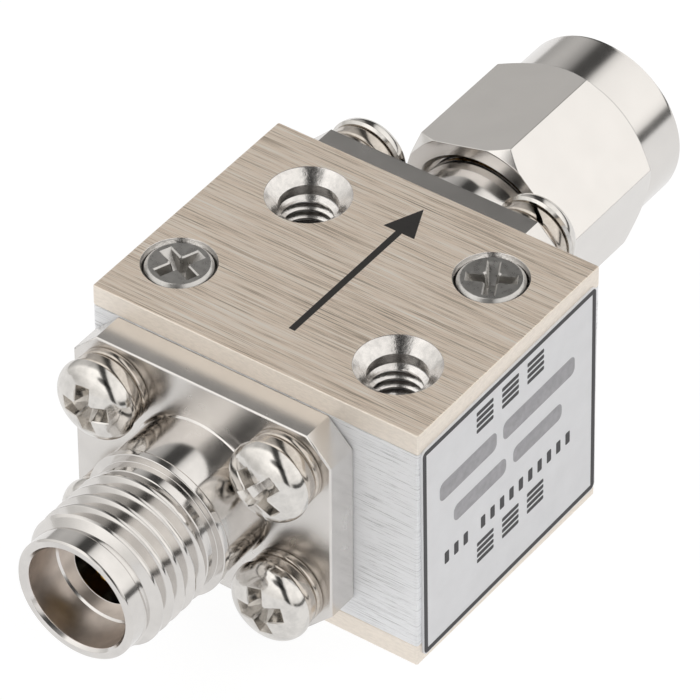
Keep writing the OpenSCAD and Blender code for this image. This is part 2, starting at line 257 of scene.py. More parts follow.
def lathe(profile, steps=96, closed=True):
    """Body turned about Z from (height, radius, rounding) points; an open one ends on the axis or a rim."""
    shape = bmesh.new()
    corners = outline(shape, [(p[1], p[0]) for p in profile], closed)
    for amount in sorted({p[2] for p in profile if len(p) > 2}):
        chosen = [v for v, p in zip(corners, profile) if len(p) > 2 and p[2] == amount]
        round_off(shape, chosen, amount, "VERTICES")
    spin(shape, TURN, steps, merge=True)
    bmesh.ops.remove_doubles(shape, verts=shape.verts, dist=NEAR)
    return shape


def at_height(table, height):
    """Value at a height in a rising table of (height, value) points."""
    low = table[0]
    for high in table[1:]:
        if height <= high[0]:
            share = max(0, (height - low[0]) / (high[0] - low[0]))
            return low[1] + share * (high[1] - low[1])
        low = high
    return low[1]


def thread_rib(root, crest, flat, pitch, start, end, limit, steps=96):
    """Closed helical rib of a 60 degree thread about Z.

    The limit is a rising table of (height, radius) points that cuts its crest, as the blank's ends do.
    """
    shape = bmesh.new()
    out = math.copysign(1, crest - root)
    slope = math.tan(math.pi / 6)
    sink = 0.04
    ease = 0.02
    foot = flat / 2 + (abs(crest - root) + sink) * slope
    half = [
        (foot, root - sink * out), (flat / 2 + ease * slope, crest - ease * out),
        (flat / 2 - 0.015, crest),
    ]
    tooth = [(-along, radius) for along, radius in half] + half[::-1]
    outline(shape, [(radius, start + along) for along, radius in tooth])
    turns = (end - start) / pitch
    count = round(turns * steps)
    spin(shape, TURN * turns, count, pitch * turns / count)
    for vert in shape.verts:
        radius = math.hypot(vert.co.x, vert.co.y)
        edge = at_height(limit, vert.co.z)
        wanted = min(radius, edge) if out > 0 else max(radius, edge)
        vert.co.x *= wanted / radius
        vert.co.y *= wanted / radius
    bmesh.ops.holes_fill(shape, edges=shape.edges, sides=0)
    return shape


def edges_of(verts):
    """Edges that meet these corners, each once and in a steady order."""
    return list(dict.fromkeys(edge for vert in verts for edge in vert.link_edges))


def drill(shape, rim, centre, radius, steps):
    """Extrudes a round rim through (height, radius) steps; gives the last ring's edges."""
    for height, wanted in steps:
        grown = bmesh.ops.extrude_edge_only(shape, edges=rim)["geom"]
        verts = [g for g in grown if isinstance(g, bmesh.types.BMVert)]
        rim = [g for g in grown if isinstance(g, bmesh.types.BMEdge)]
        for vert in verts:
            share = wanted / radius
            vert.co.x = centre[0] + (vert.co.x - centre[0]) * share
            vert.co.y = centre[1] + (vert.co.y - centre[1]) * share
            vert.co.z = height
        radius = wanted
    return rim


def bar(middle, size, corner, segments):
    """Upright bar with rounded corners."""
    shape = bmesh.new()
    bmesh.ops.create_cube(
        shape, size=1, matrix=Matrix.Translation(middle) @ Matrix.Diagonal((*size, 1)))
    upright = [e for e in shape.edges if abs(e.verts[0].co.z - e.verts[1].co.z) > size[2] / 2]
    round_off(shape, upright, corner, segments=segments)
    return shape


def drilled_slab(low, high, corner, corner_steps, edge, holes, segments=72):
    """Slab with bevelled corners, rounded edges and holes given as (x, y, [(height, radius), ...])."""
    size = high - low
    middle = (low + high) / 2
    shape = bar(middle, size, corner, corner_steps)
    flat = [e for e in shape.edges if abs(e.verts[0].co.z - e.verts[1].co.z) < size.z / 2]
    round_off(shape, flat, edge)
    shape.normal_update()
    ends = [f for f in shape.faces if abs(f.normal.z) > 0.999]
    bmesh.ops.delete(shape, geom=ends, context="FACES_ONLY")
    rims = [e for e in shape.edges if len(e.link_faces) == 1]
    upper = [e for e in rims if e.verts[0].co.z > middle.z]
    lower = [e for e in rims if e.verts[0].co.z < middle.z]
    for x, y, steps in holes:
        ring = bmesh.ops.create_circle(
            shape, cap_ends=False, segments=segments, radius=steps[0][1],
            matrix=Matrix.Translation((x, y, high.z)),
        )["verts"]
        rim = edges_of(ring)
        upper += rim
        last = drill(shape, rim, (x, y), steps[0][1], steps[1:] + [(low.z, steps[-1][1])])
        lower += last
    for edges, up in ((upper, 1), (lower, -1)):
        bmesh.ops.triangle_fill(shape, use_beauty=True, use_dissolve=False, edges=edges, normal=(0, 0, up))
    return shape


def cross_ring(shape, level, width, span, corner=0.09):
    """Ring of a cross recess; the level gives the height at a distance from the screw's axis."""
    ring = bmesh.ops.create_circle(shape, cap_ends=False, segments=16, radius=1)["verts"]
    arm = ((width / 2 + corner, -width / 2), (span / 2, -width / 2), (span / 2, width / 2),
           (width / 2 + corner, width / 2))
    for i, vert in enumerate(ring):
        vert.co = Matrix.Rotation(i // 4 * TURN / 4, 3, "Z") @ Vector((*arm[i % 4], 0))
        vert.co.z = level(vert.co.xy.length)
    return edges_of(ring)


def cross_cutter(levels, turn):
    """Closed cutter for a cross recess, from the top down."""
    shape = bmesh.new()
    rings = [cross_ring(shape, *level) for level in levels]
    for upper, lower in zip(rings, rings[1:]):
        bmesh.ops.bridge_loops(shape, edges=upper + lower)
    bmesh.ops.holes_fill(shape, edges=shape.edges, sides=0)
    bmesh.ops.rotate(
        shape, cent=(0, 0, 0), matrix=Matrix.Rotation(math.radians(turn), 3, "Z"), verts=shape.verts)
    return shape


def carve(shape, cutter):
    """Cuts one closed shape out of another and gives what is left as a new shape."""
    solids = []
    for part in (shape, cutter):
        bmesh.ops.remove_doubles(part, verts=part.verts, dist=NEAR)
        bmesh.ops.recalc_face_normals(part, faces=part.faces)
        mesh = bpy.data.meshes.new("carving")
        part.to_mesh(mesh)
        part.free()
        solids.append(new_object("carving", mesh))
    cut = solids[0].modifiers.new("cut", "BOOLEAN")
    cut.operation = "DIFFERENCE"
    cut.solver = "EXACT"
    cut.object = solids[1]
    bpy.context.view_layer.update()
    left = bmesh.new()
    left.from_object(solids[0], bpy.context.evaluated_depsgraph_get())
    for solid in solids:
        mesh = solid.data
        bpy.data.objects.remove(solid)
        bpy.data.meshes.remove(mesh)
    if not left.faces:
        raise RuntimeError("a carving has no faces left")
    return left


def split_ring(inner, outer, thickness, lift, gap, slant, edge, steps=90):
    """Spring washer standing on Z = 0, one end lifted, with a slanted gap and rounded edges."""
    shape = bmesh.new()
    section = outline(shape, ((inner, 0), (outer, 0), (outer, thickness), (inner, thickness)))
    round_off(shape, section, edge, "VERTICES")
    middle_r = (inner + outer) / 2
    open_angle = gap / math.cos(slant) / middle_r
    for vert in shape.verts:
        lean = (thickness / 2 - vert.co.z) * math.tan(slant) / middle_r + open_angle / 2
        vert.co.rotate(Matrix.Rotation(lean, 3, "Z"))
    spin(shape, TURN - open_angle, steps, lift / steps)
    bmesh.ops.holes_fill(shape, edges=shape.edges, sides=0)
    return shape


# Finished objects

def corner_normals(shape):
    """Normal of every face corner, led by the widest flat area that meets there, so that flats stay flat."""
    area = {}
    for first in shape.faces:
        if first in area:
            continue
        group = [first]
        area[first] = 0
        for face in group:
            for edge in face.edges:
                for near in edge.link_faces:
                    if near not in area and near.normal.dot(face.normal) > FLAT:
                        area[near] = 0
                        group.append(near)
        total = sum(face.calc_area() for face in group)
        for face in group:
            area[face] = total
    found = {}
    for vert in shape.verts:
        left = list(vert.link_faces)
        while left:
            fan = [left.pop()]
            for face in fan:
                for edge in face.edges:
                    if edge.smooth and vert in edge.verts:
                        for near in edge.link_faces:
                            if near in left:
                                left.remove(near)
                                fan.append(near)
            total = Vector()
            for face in fan:
                corner = next(loop for loop in face.loops if loop.vert == vert)
                total += face.normal * area[face] * corner.calc_angle()
            for face in fan:
                found[vert.index, face.index] = total.normalized()
    return [found[vert.index, face.index] for face in shape.faces for vert in face.verts]


def keep(shape, name, material, body, nodes=(), smooth=38, others=()):
    """Closes a shape, turns it from millimetres to metres and hangs it on its body.

    Others are (material, test) pairs: a face that passes the test gets that material instead.
    """
    bmesh.ops.remove_doubles(shape, verts=shape.verts, dist=2 * NEAR)
    bmesh.ops.recalc_face_normals(shape, faces=shape.faces)
    for edge in shape.edges:
        edge.smooth = edge.calc_face_angle(0) < math.radians(smooth)
    for face in shape.faces:
        face.smooth = True
        for index, (_, test) in enumerate(others, 1):
            if test(face):
                face.material_index = index
    shape.verts.index_update()
    shape.faces.index_update()
    normals = corner_normals(shape)
    bmesh.ops.scale(shape, vec=(MM, MM, MM), verts=shape.verts)
    mesh = bpy.data.meshes.new(name)
    shape.to_mesh(mesh)
    shape.free()
    if not mesh.polygons:
        raise RuntimeError(f"{name} has no faces")
    mesh.normals_split_custom_set(normals)
    for finish in (material, *(other for other, _ in others)):
        mesh.materials.append(finish)
    piece = new_object(name, mesh)
    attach(piece, body)
    if nodes:
        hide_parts(*nodes)
    return piece


def dress(node, material):
    """Gives a CAD node that stays its finish."""
    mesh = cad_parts[node].data
    mesh.materials.clear()
    mesh.materials.append(material)


# Materials

def add(tree, kind, settings=None, links=None):
    """Adds a shader node of this kind with its settings and the links into it.

    A setting whose key is a number or starts with a capital is a socket's value.
    """
    node = tree.nodes.new("ShaderNode" + kind)
    for key, value in (settings or {}).items():
        if isinstance(key, int) or key[0].isupper():
            node.inputs[key].default_value = value
        else:
            setattr(node, key, value)
    for key, source in (links or {}).items():
        tree.links.new(source, node.inputs[key])
    return node


def stops(node, points):
    """Sets a ramp's stops from (position, colour) points."""
    ramp = node.color_ramp
    while len(ramp.elements) > 1:
        ramp.elements.remove(ramp.elements[-1])
    for index, (position, value) in enumerate(points):
        stop = ramp.elements[0] if index == 0 else ramp.elements.new(position)
        stop.position = position
        stop.color = value
    return node


def scaled(value, share):
    """A colour with its brightness multiplied, and full alpha."""
    return (*(c * share for c in value[:3]), 1)


def begin(name, **sockets):
    """A new material, its tree, its shader and its object coordinates."""
    material = bpy.data.materials.new(name)
    material.use_nodes = True
    tree = material.node_tree
    shader = tree.nodes["Principled BSDF"]
    for socket, value in sockets.items():
        shader.inputs[socket.replace("_", " ")].default_value = value
    where = add(tree, "TexCoord")
    return material, tree, shader, where.outputs["Object"]


def made_once(make):
    """Looks a finish up by its name first, and makes it only where there is none."""
    def finish(name, *details, **sockets):
        return bpy.data.materials.get(name) or make(name, *details, **sockets)
    return finish


def surface(tree, shader, tone, relief, depth, strength, rough=(), wear=None):
    """Joins a tone, a relief this many millimetres deep and a roughness that follows the wear."""
    bump = add(tree, "Bump", {"Distance": depth * MM, "Strength": strength}, {"Height": relief})
    tree.links.new(tone, shader.inputs["Base Color"])
    tree.links.new(bump.outputs["Normal"], shader.inputs["Normal"])
    if rough:
        spread = add(tree, "MapRange", {"To Min": rough[0], "To Max": rough[1]}, {"Value": wear})
        tree.links.new(spread.outputs["Result"], shader.inputs["Roughness"])
    return bump


def per_mm(x, y, z):
    """Mapping scale that puts one unit of a pattern in each of these millimetres."""
    return (1 / (x * MM), 1 / (y * MM), 1 / (z * MM))


def streaks(tree, where, scale, detail=3, turn=0.0, roughness=0.55):
    """Stretched noise whose grains are as long and wide as the scale says."""
    mapping = add(tree, "Mapping", {"Rotation": (0, 0, math.radians(turn)), "Scale": scale},
                  {"Vector": where})
    return add(tree, "TexNoise", {"Scale": 1, "Detail": detail, "Roughness": roughness},
               {"Vector": mapping.outputs["Vector"]}).outputs["Fac"]


def about_axis(tree, where):
    """Radius from the connectors' axis and place along it, as a vector, so that lines run round."""
    centred = add(tree, "Mapping", {"Location": (0, 0, -AXIS_Z * MM)}, {"Vector": where})
    parts = add(tree, "SeparateXYZ", {}, {"Vector": centred.outputs["Vector"]})
    flat = add(tree, "CombineXYZ", {}, {"X": parts.outputs["X"], "Z": parts.outputs["Z"]})
    radius = add(tree, "VectorMath", {"operation": "LENGTH"}, {0: flat.outputs["Vector"]})
    return add(tree, "CombineXYZ", {}, {
        "X": radius.outputs["Value"], "Y": parts.outputs["Y"],
    }).outputs["Vector"]


@made_once
def warm_nickel(name):
    """Steel plated with warm nickel and brushed along X: long fine lines, a satin champagne sheen, and
    painted glints and painted shade in the lines' colour.
    """
    # The belt's real lines are finer; the spacing is as coarse as the picture needs to show them
    size = sizes()
    length = size["brush_length"]
    gap = size["brush_gap"]
    material, tree, shader, where = begin(name, Metallic=1.0)
    fine = streaks(tree, where, per_mm(length, gap, gap), detail=5, turn=0.4, roughness=0.72)
    broad = streaks(tree, where, per_mm(length * 2, gap * 4, gap * 4), detail=2, turn=-0.5)
    both = add(tree, "Mix", {"data_type": "FLOAT", 0: 0.25}, {2: fine, 3: broad}).outputs[0]
    # Only the two large faces are brushed; the sheared edges stay plain
    normal = add(tree, "NewGeometry")
    facing = add(tree, "SeparateXYZ", {}, {"Vector": normal.outputs["Normal"]})
    level = add(tree, "Math", {"operation": "ABSOLUTE"}, {0: facing.outputs["Z"]})
    face = add(tree, "MapRange", {"From Min": 0.7, "From Max": 0.95}, {"Value": level.outputs[0]})
    # The brushed grain is real; its darkest stop paints shade and its lightest stop paints glints
    brushed = stops(add(tree, "ValToRGB", {}, {"Fac": both}), [
        (0.35, colour("cover_painted_shade")), (0.5, colour("cover")), (0.64, colour("cover_painted_glint")),
    ])
    grain = streaks(tree, where, per_mm(0.22, 0.22, 0.07), detail=2)
    sheared = stops(add(tree, "ValToRGB", {}, {"Fac": grain}), [
        (0.3, scaled(colour("cover_edge"), 0.92)), (0.65, colour("cover_edge")),
    ])
    tone = add(tree, "Mix", {"data_type": "RGBA"}, {
        0: face.outputs["Result"], 6: sheared.outputs["Color"], 7: brushed.outputs["Color"],
    })
    bump = surface(
        tree, shader, tone.outputs[2], both, depth=0.01, strength=1.0, rough=(0.48, 0.6), wear=both)
    strength = add(tree, "Math", {"operation": "MULTIPLY", 1: 0.9}, {0: face.outputs["Result"]})
    tree.links.new(strength.outputs[0], bump.inputs["Strength"])
    return material


@made_once
def milled_aluminium(name):
    """Aluminium milled all round: level cutter lines, some deep and bright, others dark with painted shade.
    """
    gap = sizes()["mill_gap"]
    material, tree, shader, where = begin(name, Metallic=1.0)
    parts = add(tree, "SeparateXYZ", {}, {"Vector": where})
    along = add(tree, "Math", {"operation": "ADD"}, {
        0: parts.outputs["X"], 1: parts.outputs["Y"],
    })
    wall = add(tree, "CombineXYZ", {}, {"X": along.outputs[0], "Z": parts.outputs["Z"]})
    lines = streaks(tree, wall.outputs["Vector"], per_mm(2.8, 1, gap), detail=4, roughness=0.7)
    # The cutter lines are real grain; the dark stop paints shade along them
    tone = stops(add(tree, "ValToRGB", {}, {"Fac": lines}), [
        (0.36, scaled(colour("block"), 0.55)), (0.46, colour("block")),
    ])
    surface(
        tree, shader, tone.outputs["Color"], lines, depth=0.07, strength=1.0, rough=(0.42, 0.6),
        wear=lines,
    )
    return material


@made_once
def turned_metal(name, base, rough, depth, mottle=0.93):
    """Metal turned about the connectors' axis: soft mirror with faint rings from the tool."""
    # The tool's real feed is finer; the rings are as coarse as the picture needs to show them
    gap = sizes()["turn_gap"]
    material, tree, shader, where = begin(name, Metallic=1.0)
    rings = streaks(tree, about_axis(tree, where), per_mm(gap, gap, gap), detail=2)
    cloud = streaks(tree, where, per_mm(1.4, 1.4, 1.4))
    tone = stops(add(tree, "ValToRGB", {}, {"Fac": cloud}), [
        (0.3, scaled(base, mottle)), (0.7, base),
    ])
    surface(tree, shader, tone.outputs["Color"], rings, depth, strength=0.4, rough=rough, wear=cloud)
    return material


@made_once
def plated(name, base, rough, grain, depth):
    """Bright plated small part: a mirror softened by tumbling, with tiny dents and scratches."""
    material, tree, shader, where = begin(name, Metallic=1.0)
    dents = streaks(tree, where, per_mm(grain, grain, grain), detail=4, roughness=0.6)
    tone = stops(add(tree, "ValToRGB", {}, {"Fac": dents}), [
        (0.3, scaled(base, 0.82)), (0.62, base),
    ])
    surface(tree, shader, tone.outputs["Color"], dents, depth, strength=0.5, rough=rough, wear=dents)
    return material


@made_once
def satin(name, base, roughness, grain, contrast, **sockets):
    """Non-metal with a faint mottle and grain: film, ink, ceramic or insulator."""
    material, tree, shader, where = begin(name, Metallic=0.0, Roughness=roughness, **sockets)
    mottle = streaks(tree, where, per_mm(grain, grain, grain))
    tone = stops(add(tree, "ValToRGB", {}, {"Fac": mottle}), [
        (0.3, scaled(base, 1 - contrast)), (0.7, base),
    ])
    surface(tree, shader, tone.outputs["Color"], mottle, depth=0.002, strength=0.3)
    return material


def stainless():
    """Passivated stainless steel, finely turned."""
    return turned_metal("stainless_steel_turned", colour("steel"), (0.08, 0.18), 0.0006, 0.86)


def nut_steel():
    """The same steel on the nut: even and a little softer."""
    return turned_metal("stainless_steel_nut", colour("steel"), (0.14, 0.19), 0.0006, 0.96)


def milled_steel():
    """The same steel milled and then passivated: plain, softer than the turned barrel."""
    return turned_metal("stainless_steel_milled", colour("steel"), (0.22, 0.3), 0.0008)


def bored_steel():
    """The same steel bored deep inside: a duller wall with rings from the boring tool."""
    return turned_metal("stainless_steel_bored", colour("bored"), (0.26, 0.44), 0.002, 0.6)


def countersunk_steel():
    """Steel cut by the countersink after plating: bright and bare."""
    return plated("steel_bare_countersunk", colour("steel"), (0.12, 0.26), 0.3, 0.03)


# Pieces

def in_hole(face):
    """Whether a cover's face is the cut wall of a hole."""
    middle = face.calc_center_median()
    level = 0.95
    return abs(face.normal.z) < level and any(
        math.hypot(middle.x - x, middle.y - y) < TAPPED_SINK_R for x, y in TAPPED_SPOTS + COVER_SPOTS)


class ISOLATOR_OT_covers(bpy.types.Operator):
    """Builds the two cover plates with their countersinks and tapped mounting holes"""

    bl_idname = "isolator.covers"
    bl_label = "Cover plates"

    def execute(self, context):
        size = sizes()
        nickel = warm_nickel("warm_nickel_brushed_painted_glints")
        bare = countersunk_steel()
        high = TOP - PRINT_ROOM
        lip = high - 0.02
        corner = 0.08
        start = -TAPPED_END
        end = -0.9
        crest_flat = 0.07
        holes = [
            (x, y, [(high, COVER_SINK_R), (lip, COVER_SINK_R - 0.02), (TOP - 0.2, 1.5), (TOP - 0.75, 0.92)])
            for x, y in COVER_SPOTS
        ] + [
            (x, y, [(high, TAPPED_SINK_R), (lip, TAPPED_SINK_R - 0.03), (TOP - TAPPED_SINK, TAPPED_R)])
            for x, y in TAPPED_SPOTS
        ]
        for node, place, side in (("top_plate", Matrix(), "top"), ("bottom_plate", UNDER, "bottom")):
            slab = drilled_slab(
                COVER_LOW, Vector((COVER_HIGH.x, COVER_HIGH.y, high)), corner, 2, size["plate_edge"],
                holes,
            )
            whole = bmesh.new()
            add_shape(whole, slab, place)
            keep(whole, f"{side}_cover", nickel, "block", (node,), others=((bare, in_hole),))
            threads = bmesh.new()
            for x, y in TAPPED_SPOTS:
                rib = thread_rib(
                    TAPPED_R, TAPPED_R - size["tap_depth"], crest_flat, size["tap_pitch"], start, end,
                    [(start, 1.0), (-1.3, 1.0), (-0.95, 1.24)],
                )
                add_shape(threads, rib, place @ Matrix.Translation((x, y, TOP)))
            keep(threads, f"{side}_mounting_threads", bare, "block")
        return {"FINISHED"}


class ISOLATOR_OT_block(bpy.types.Operator):
    """Builds the milled block between the covers"""

    bl_idname = "isolator.block"
    bl_label = "Milled block"

    def execute(self, context):
        tapped_r = TAPPED_R + 0.02
        screw_r = 0.82
        passages = [(x, y, [(BLOCK_HIGH.z, tapped_r)]) for x, y in TAPPED_SPOTS]
        passages += [(x, y, [(BLOCK_HIGH.z, screw_r)]) for x, y in COVER_SPOTS]
        corner = 0.1
        edge = 0.03
        slab = drilled_slab(BLOCK_LOW, BLOCK_HIGH, corner, 2, edge, passages)
        whole = bmesh.new()
        add_shape(whole, slab)
        # The mounting holes are blind from both sides, with the drill's cone at their ends
        far_end = TOP - TAPPED_END
        core_r = TAPPED_R + 0.08
        cone = 0.75
        for x, y in TAPPED_SPOTS:
            core = lathe([
                (TAPPED_END + cone, 0), (TAPPED_END, core_r), (far_end, core_r), (far_end - cone, 0),
            ], 64, closed=False)
            add_shape(whole, core, Matrix.Translation((x, y, 0)))
        keep(
            whole, "milled_block", milled_aluminium("aluminium_milled_painted_shade"), "block",
            ("housing",),
        )
        return {"FINISHED"}


def flange(thickness):
    """Flange with its four chamfered corners, standing on Z = 0."""
    low = Vector((-FLANGE_X, -FLANGE_Z, 0))
    high = Vector((FLANGE_X, FLANGE_Z, thickness))
    edge = 0.09
    return drilled_slab(low, high, FLANGE_CHAMFER, 1, edge, [(0, 0, [(thickness, BEAD_R)])])


def on_flange(face):
    """Whether a connector's face is on its flange."""
    along = face.calc_center_median().y
    return BLOCK_LOW.y - JACK_FLANGE - 0.005 < along < BLOCK_HIGH.y + PLUG_FLANGE + 0.005


def in_entry_bore(face):
    """Whether a face of the jack is the wall of its entry bore."""
    middle = face.calc_center_median()
    radius = math.hypot(middle.x, middle.z - AXIS_Z)
    return abs(radius - ENTRY_R) < 0.04 and middle.y < BLOCK_LOW.y - JACK_FLANGE - 0.3


class ISOLATOR_OT_jack(bpy.types.Operator):
    """Builds the jack: flange, boss, coupling thread and entry bore"""

    bl_idname = "isolator.jack"
    bl_label = "Jack"

    def execute(self, context):
        size = sizes()
        crest = 3.15
        root = crest - size["thread_depth"]
        edge = size["edge"]
        foot = 3.33
        boss = 3.25
        collar = 3.35
        land = 3.0
        nose = 2.8
        thread_start = 4.864
        thread_end = 9.4
        whole = bmesh.new()
        add_shape(whole, flange(JACK_FLANGE), FRONT)
        barrel = lathe([
            (0.5, BEAD_R), (BEAD_DEPTH, BEAD_R), (BEAD_DEPTH, AIR_LINE_R), (7.95, AIR_LINE_R, 0.03),
            (7.95, 2.25), (8.03, ENTRY_R), (9.74, ENTRY_R, 0.02), (9.895, 2.47, 0.02), (9.9, 2.72, 0.02),
            (9.82, nose, 0.03), (9.05, nose, 0.02), (9.0, root), (5.36, root), (5.36, 2.65),
            (5.25, land, edge), (4.62, land, 0.03), (4.62, collar, edge), (4.28, collar, edge),
            (4.22, boss, 0.03), (1.8, boss), (1.74, foot, 0.03), (1.2, foot), (1.2, 2.9), (0.5, 2.9),
        ], 144)
        add_shape(whole, barrel, FRONT)
        rib = thread_rib(
            root, crest, size["thread_crest"], size["thread_pitch"], thread_start, thread_end,
            [(5.25, 2.6), (5.33, 2.65), (5.6, crest), (8.58, crest), (9.05, nose), (9.12, 2.74), (9.3, 2.6)],
            144,
        )
        add_shape(whole, rib, FRONT)
        keep(
            whole, "jack_body", stainless(), "block", ("jack_shell",),
            others=((milled_steel(), on_flange), (bored_steel(), in_entry_bore)),
        )
        return {"FINISHED"}


class ISOLATOR_OT_plug(bpy.types.Operator):
    """Builds the plug: flange, barrel and mating sleeve"""

    bl_idname = "isolator.plug"
    bl_label = "Plug"

    def execute(self, context):
        foot = PLUG_FLANGE + 0.15
        foot_r = 3.23
        collar = 3.15
        stem = 2.78
        groove = 2.35
        sleeve = 2.3
        whole = bmesh.new()
        add_shape(whole, flange(PLUG_FLANGE), REAR)
        barrel = lathe([
            (0.5, BEAD_R), (BEAD_DEPTH, BEAD_R), (BEAD_DEPTH, AIR_LINE_R), (11.5, AIR_LINE_R, 0.03),
            (11.55, 1.52), (11.55, 2.18), (11.43, sleeve, 0.03), (9.2, sleeve), (9.2, 2.63, 0.02),
            (9.05, stem, 0.02), (7.05, stem, 0.02), (7.05, groove), (6.2, groove), (6.2, stem, 0.02),
            (5.5, stem), (5.5, 3.05, 0.02), (5.4, collar, 0.03), (foot + 0.1, collar),
            (foot, foot_r, 0.03), (1.4, foot_r), (1.4, 2.6), (0.5, 2.6),
        ], 128)
        add_shape(whole, barrel, REAR)
        keep(
            whole, "plug_body", stainless(), "block", ("plug_shell",),
            others=((milled_steel(), on_flange),),
        )
        return {"FINISHED"}


class ISOLATOR_OT_nut(bpy.types.Operator):
    """Builds the coupling nut: hexagon with coned ends, round end and coned mouth"""

    bl_idname = "isolator.nut"
    bl_label = "Coupling nut"

    def execute(self, context):
        size = sizes()
        flats = 4.0
        hexagon_turn = 15
        near_r = 4.2
        round_r = 3.93
        hexagon = 6.55
        end = 9.15
        blank_r = 4.5
        bore = 3.05
        groove = 3.25
        relief = 3.33
        mouth = 2.87
        thread_root = 3.17
        thread_crest = 2.85
        crest_flat = 0.176
        thread_start = 5.3
        thread_end = 8.8
        bevel = 0.14
        shape = lathe([
            (0, 3.5), (0, near_r), (0.3, blank_r), (6.0, blank_r),
            (hexagon, round_r), (end, round_r, 0.3), (end, 3.27, 0.04), (8.73, mouth), (5.0, mouth),
            (5.0, groove), (3.8, groove), (3.8, bore), (1.55, bore), (1.55, relief), (1.0, relief),
            (1.0, bore), (0.45, bore, 0.03), (0.45, 3.3), (0.2, 3.3),
        ], 144)
        # The blank's rims are drawn in to the flats, and its ends become cones
        for vert in shape.verts:
            radius = math.hypot(vert.co.x, vert.co.y)
            angle = math.degrees(math.atan2(vert.co.y, vert.co.x)) + hexagon_turn
            wanted = flats / math.cos(math.radians((angle % 60) - 30))
            if abs(radius - blank_r) < 0.001:
                if vert.co.z < hexagon / 2:
                    vert.co.z = max(0, wanted - near_r)
                else:
                    vert.co.z = hexagon - (wanted - round_r) * 0.9
            elif abs(radius - near_r) < 0.001:
                wanted = min(near_r, wanted)
            else:
                continue
            vert.co.x *= wanted / radius
            vert.co.y *= wanted / radius
        bmesh.ops.remove_doubles(shape, verts=shape.verts, dist=0.001)
        shape.normal_update()
        sharp = [
            e for e in shape.edges
            if min(v.co.xy.length for v in e.verts) > flats - 0.02
            and e.calc_face_angle(0) > math.radians(15)
        ]
        round_off(shape, sharp, bevel, clamp=True)
        whole = bmesh.new()
        place = REAR @ Matrix.Translation((0, 0, NUT_START))
        add_shape(whole, shape, place)
        # The bore's wall is nearly as narrow as the thread's crests, so that the thread hardly shows
        rib = thread_rib(
            thread_root, thread_crest, crest_flat, size["thread_pitch"], thread_start, thread_end,
            [(5.4, 2.86), (8.5, 2.86), (8.73, 2.9), (9.05, 3.2), (9.2, 3.3)],
        )
        add_shape(whole, rib, place)
        keep(whole, "hex_coupling_nut", nut_steel(), "nut", ("coupling_nut",), smooth=24)
        return {"FINISHED"}


def pan_crown(lift):
    """Height of a pan head's crown at a distance from its axis, raised by a lift."""
    return lambda radius: PAN_HEIGHT - PAN_CROWN + math.sqrt(PAN_CROWN ** 2 - radius ** 2) + lift


def even(height):
    """The same height at every distance."""
    return lambda radius: height


def pan_screw(turn):
    """Pan head screw with a cross recess, the underside of its head at Z = 0. Two arcs make its dome."""
    lean = math.asin(PAN_INSET / (PAN_CROWN - PAN_EDGE))
    rows = 10
    thread_r = 0.97
    tip = -4.4
    dome = []
    for i in range(rows):
        angle = TURN / 4 + (lean - TURN / 4) * i / rows
        dome.append((PAN_FOOT + PAN_EDGE * math.cos(angle), PAN_INSET + PAN_EDGE * math.sin(angle)))
    for i in range(rows + 1):
        angle = lean * (1 - i / rows)
        dome.append((PAN_HEIGHT - PAN_CROWN + PAN_CROWN * math.cos(angle), PAN_CROWN * math.sin(angle)))
    head = lathe([
        (tip, 0), (tip, thread_r - 0.3), (tip + 0.3, thread_r), (0, thread_r), (0, PAN_R - 0.12),
        (PAN_FOOT, PAN_R - 0.01), *dome,
    ], 72, closed=False)
    cutter = cross_cutter([
        (even(PAN_HEIGHT + 0.4), 0.78, 2.28), (pan_crown(0.03), 0.78, 2.28), (pan_crown(-0.03), 0.66, 2.16),
        (even(0.55), 0.5, 1.9), (even(0.3), 0.36, 0.9),
    ], turn)
    return carve(head, cutter)


class ISOLATOR_OT_flange_fasteners(bpy.types.Operator):
    """Builds the pan head screws, spring washers and flat washers of both flanges"""

    bl_idname = "isolator.flange_fasteners"
    bl_label = "Flange fasteners"

    def execute(self, context):
        nickel = plated("nickel_plated_bright", colour("screw"), (0.06, 0.2), 0.5, 0.005)
        dull = plated("nickel_plated_spring_steel", colour("washer"), (0.1, 0.24), 0.25, 0.004)
        for side, place, base in (("jack", FRONT, JACK_FLANGE), ("plug", REAR, PLUG_FLANGE)):
            screws = bmesh.new()
            springs = bmesh.new()
            flats = bmesh.new()
            for spot, turn, split in zip(SCREW_SPOTS, SCREW_TURNS, SPLIT_TURNS):
                foot = place @ Matrix.Translation((*spot, base))
                add_shape(flats, lathe([
                    (0, WASHER_BORE_R), (0, WASHER_R, 0.1), (FLAT_WASHER, WASHER_R, 0.12),
                    (FLAT_WASHER, WASHER_BORE_R),
                ], 64), foot)
                spring = split_ring(
                    SPRING_BORE_R, SPRING_R, SPRING_WASHER - SPRING_LIFT, SPRING_LIFT, gap=0.2,
                    slant=math.radians(50), edge=0.17,
                )
                turned = Matrix.Rotation(math.radians(split), 4, "Z")
                add_shape(springs, spring, foot @ Matrix.Translation((0, 0, FLAT_WASHER)) @ turned)
                add_shape(
                    screws, pan_screw(turn),
                    foot @ Matrix.Translation((0, 0, FLAT_WASHER + SPRING_WASHER)),
                )
            keep(
                screws, f"{side}_pan_head_screws", nickel, "block", (f"{side}_screws",),
                smooth=32,
            )
            keep(springs, f"{side}_split_washers", dull, "block", (f"{side}_spring_washers",))
            keep(flats, f"{side}_plain_washers", dull, "block", (f"{side}_flat_washers",))
        return {"FINISHED"}


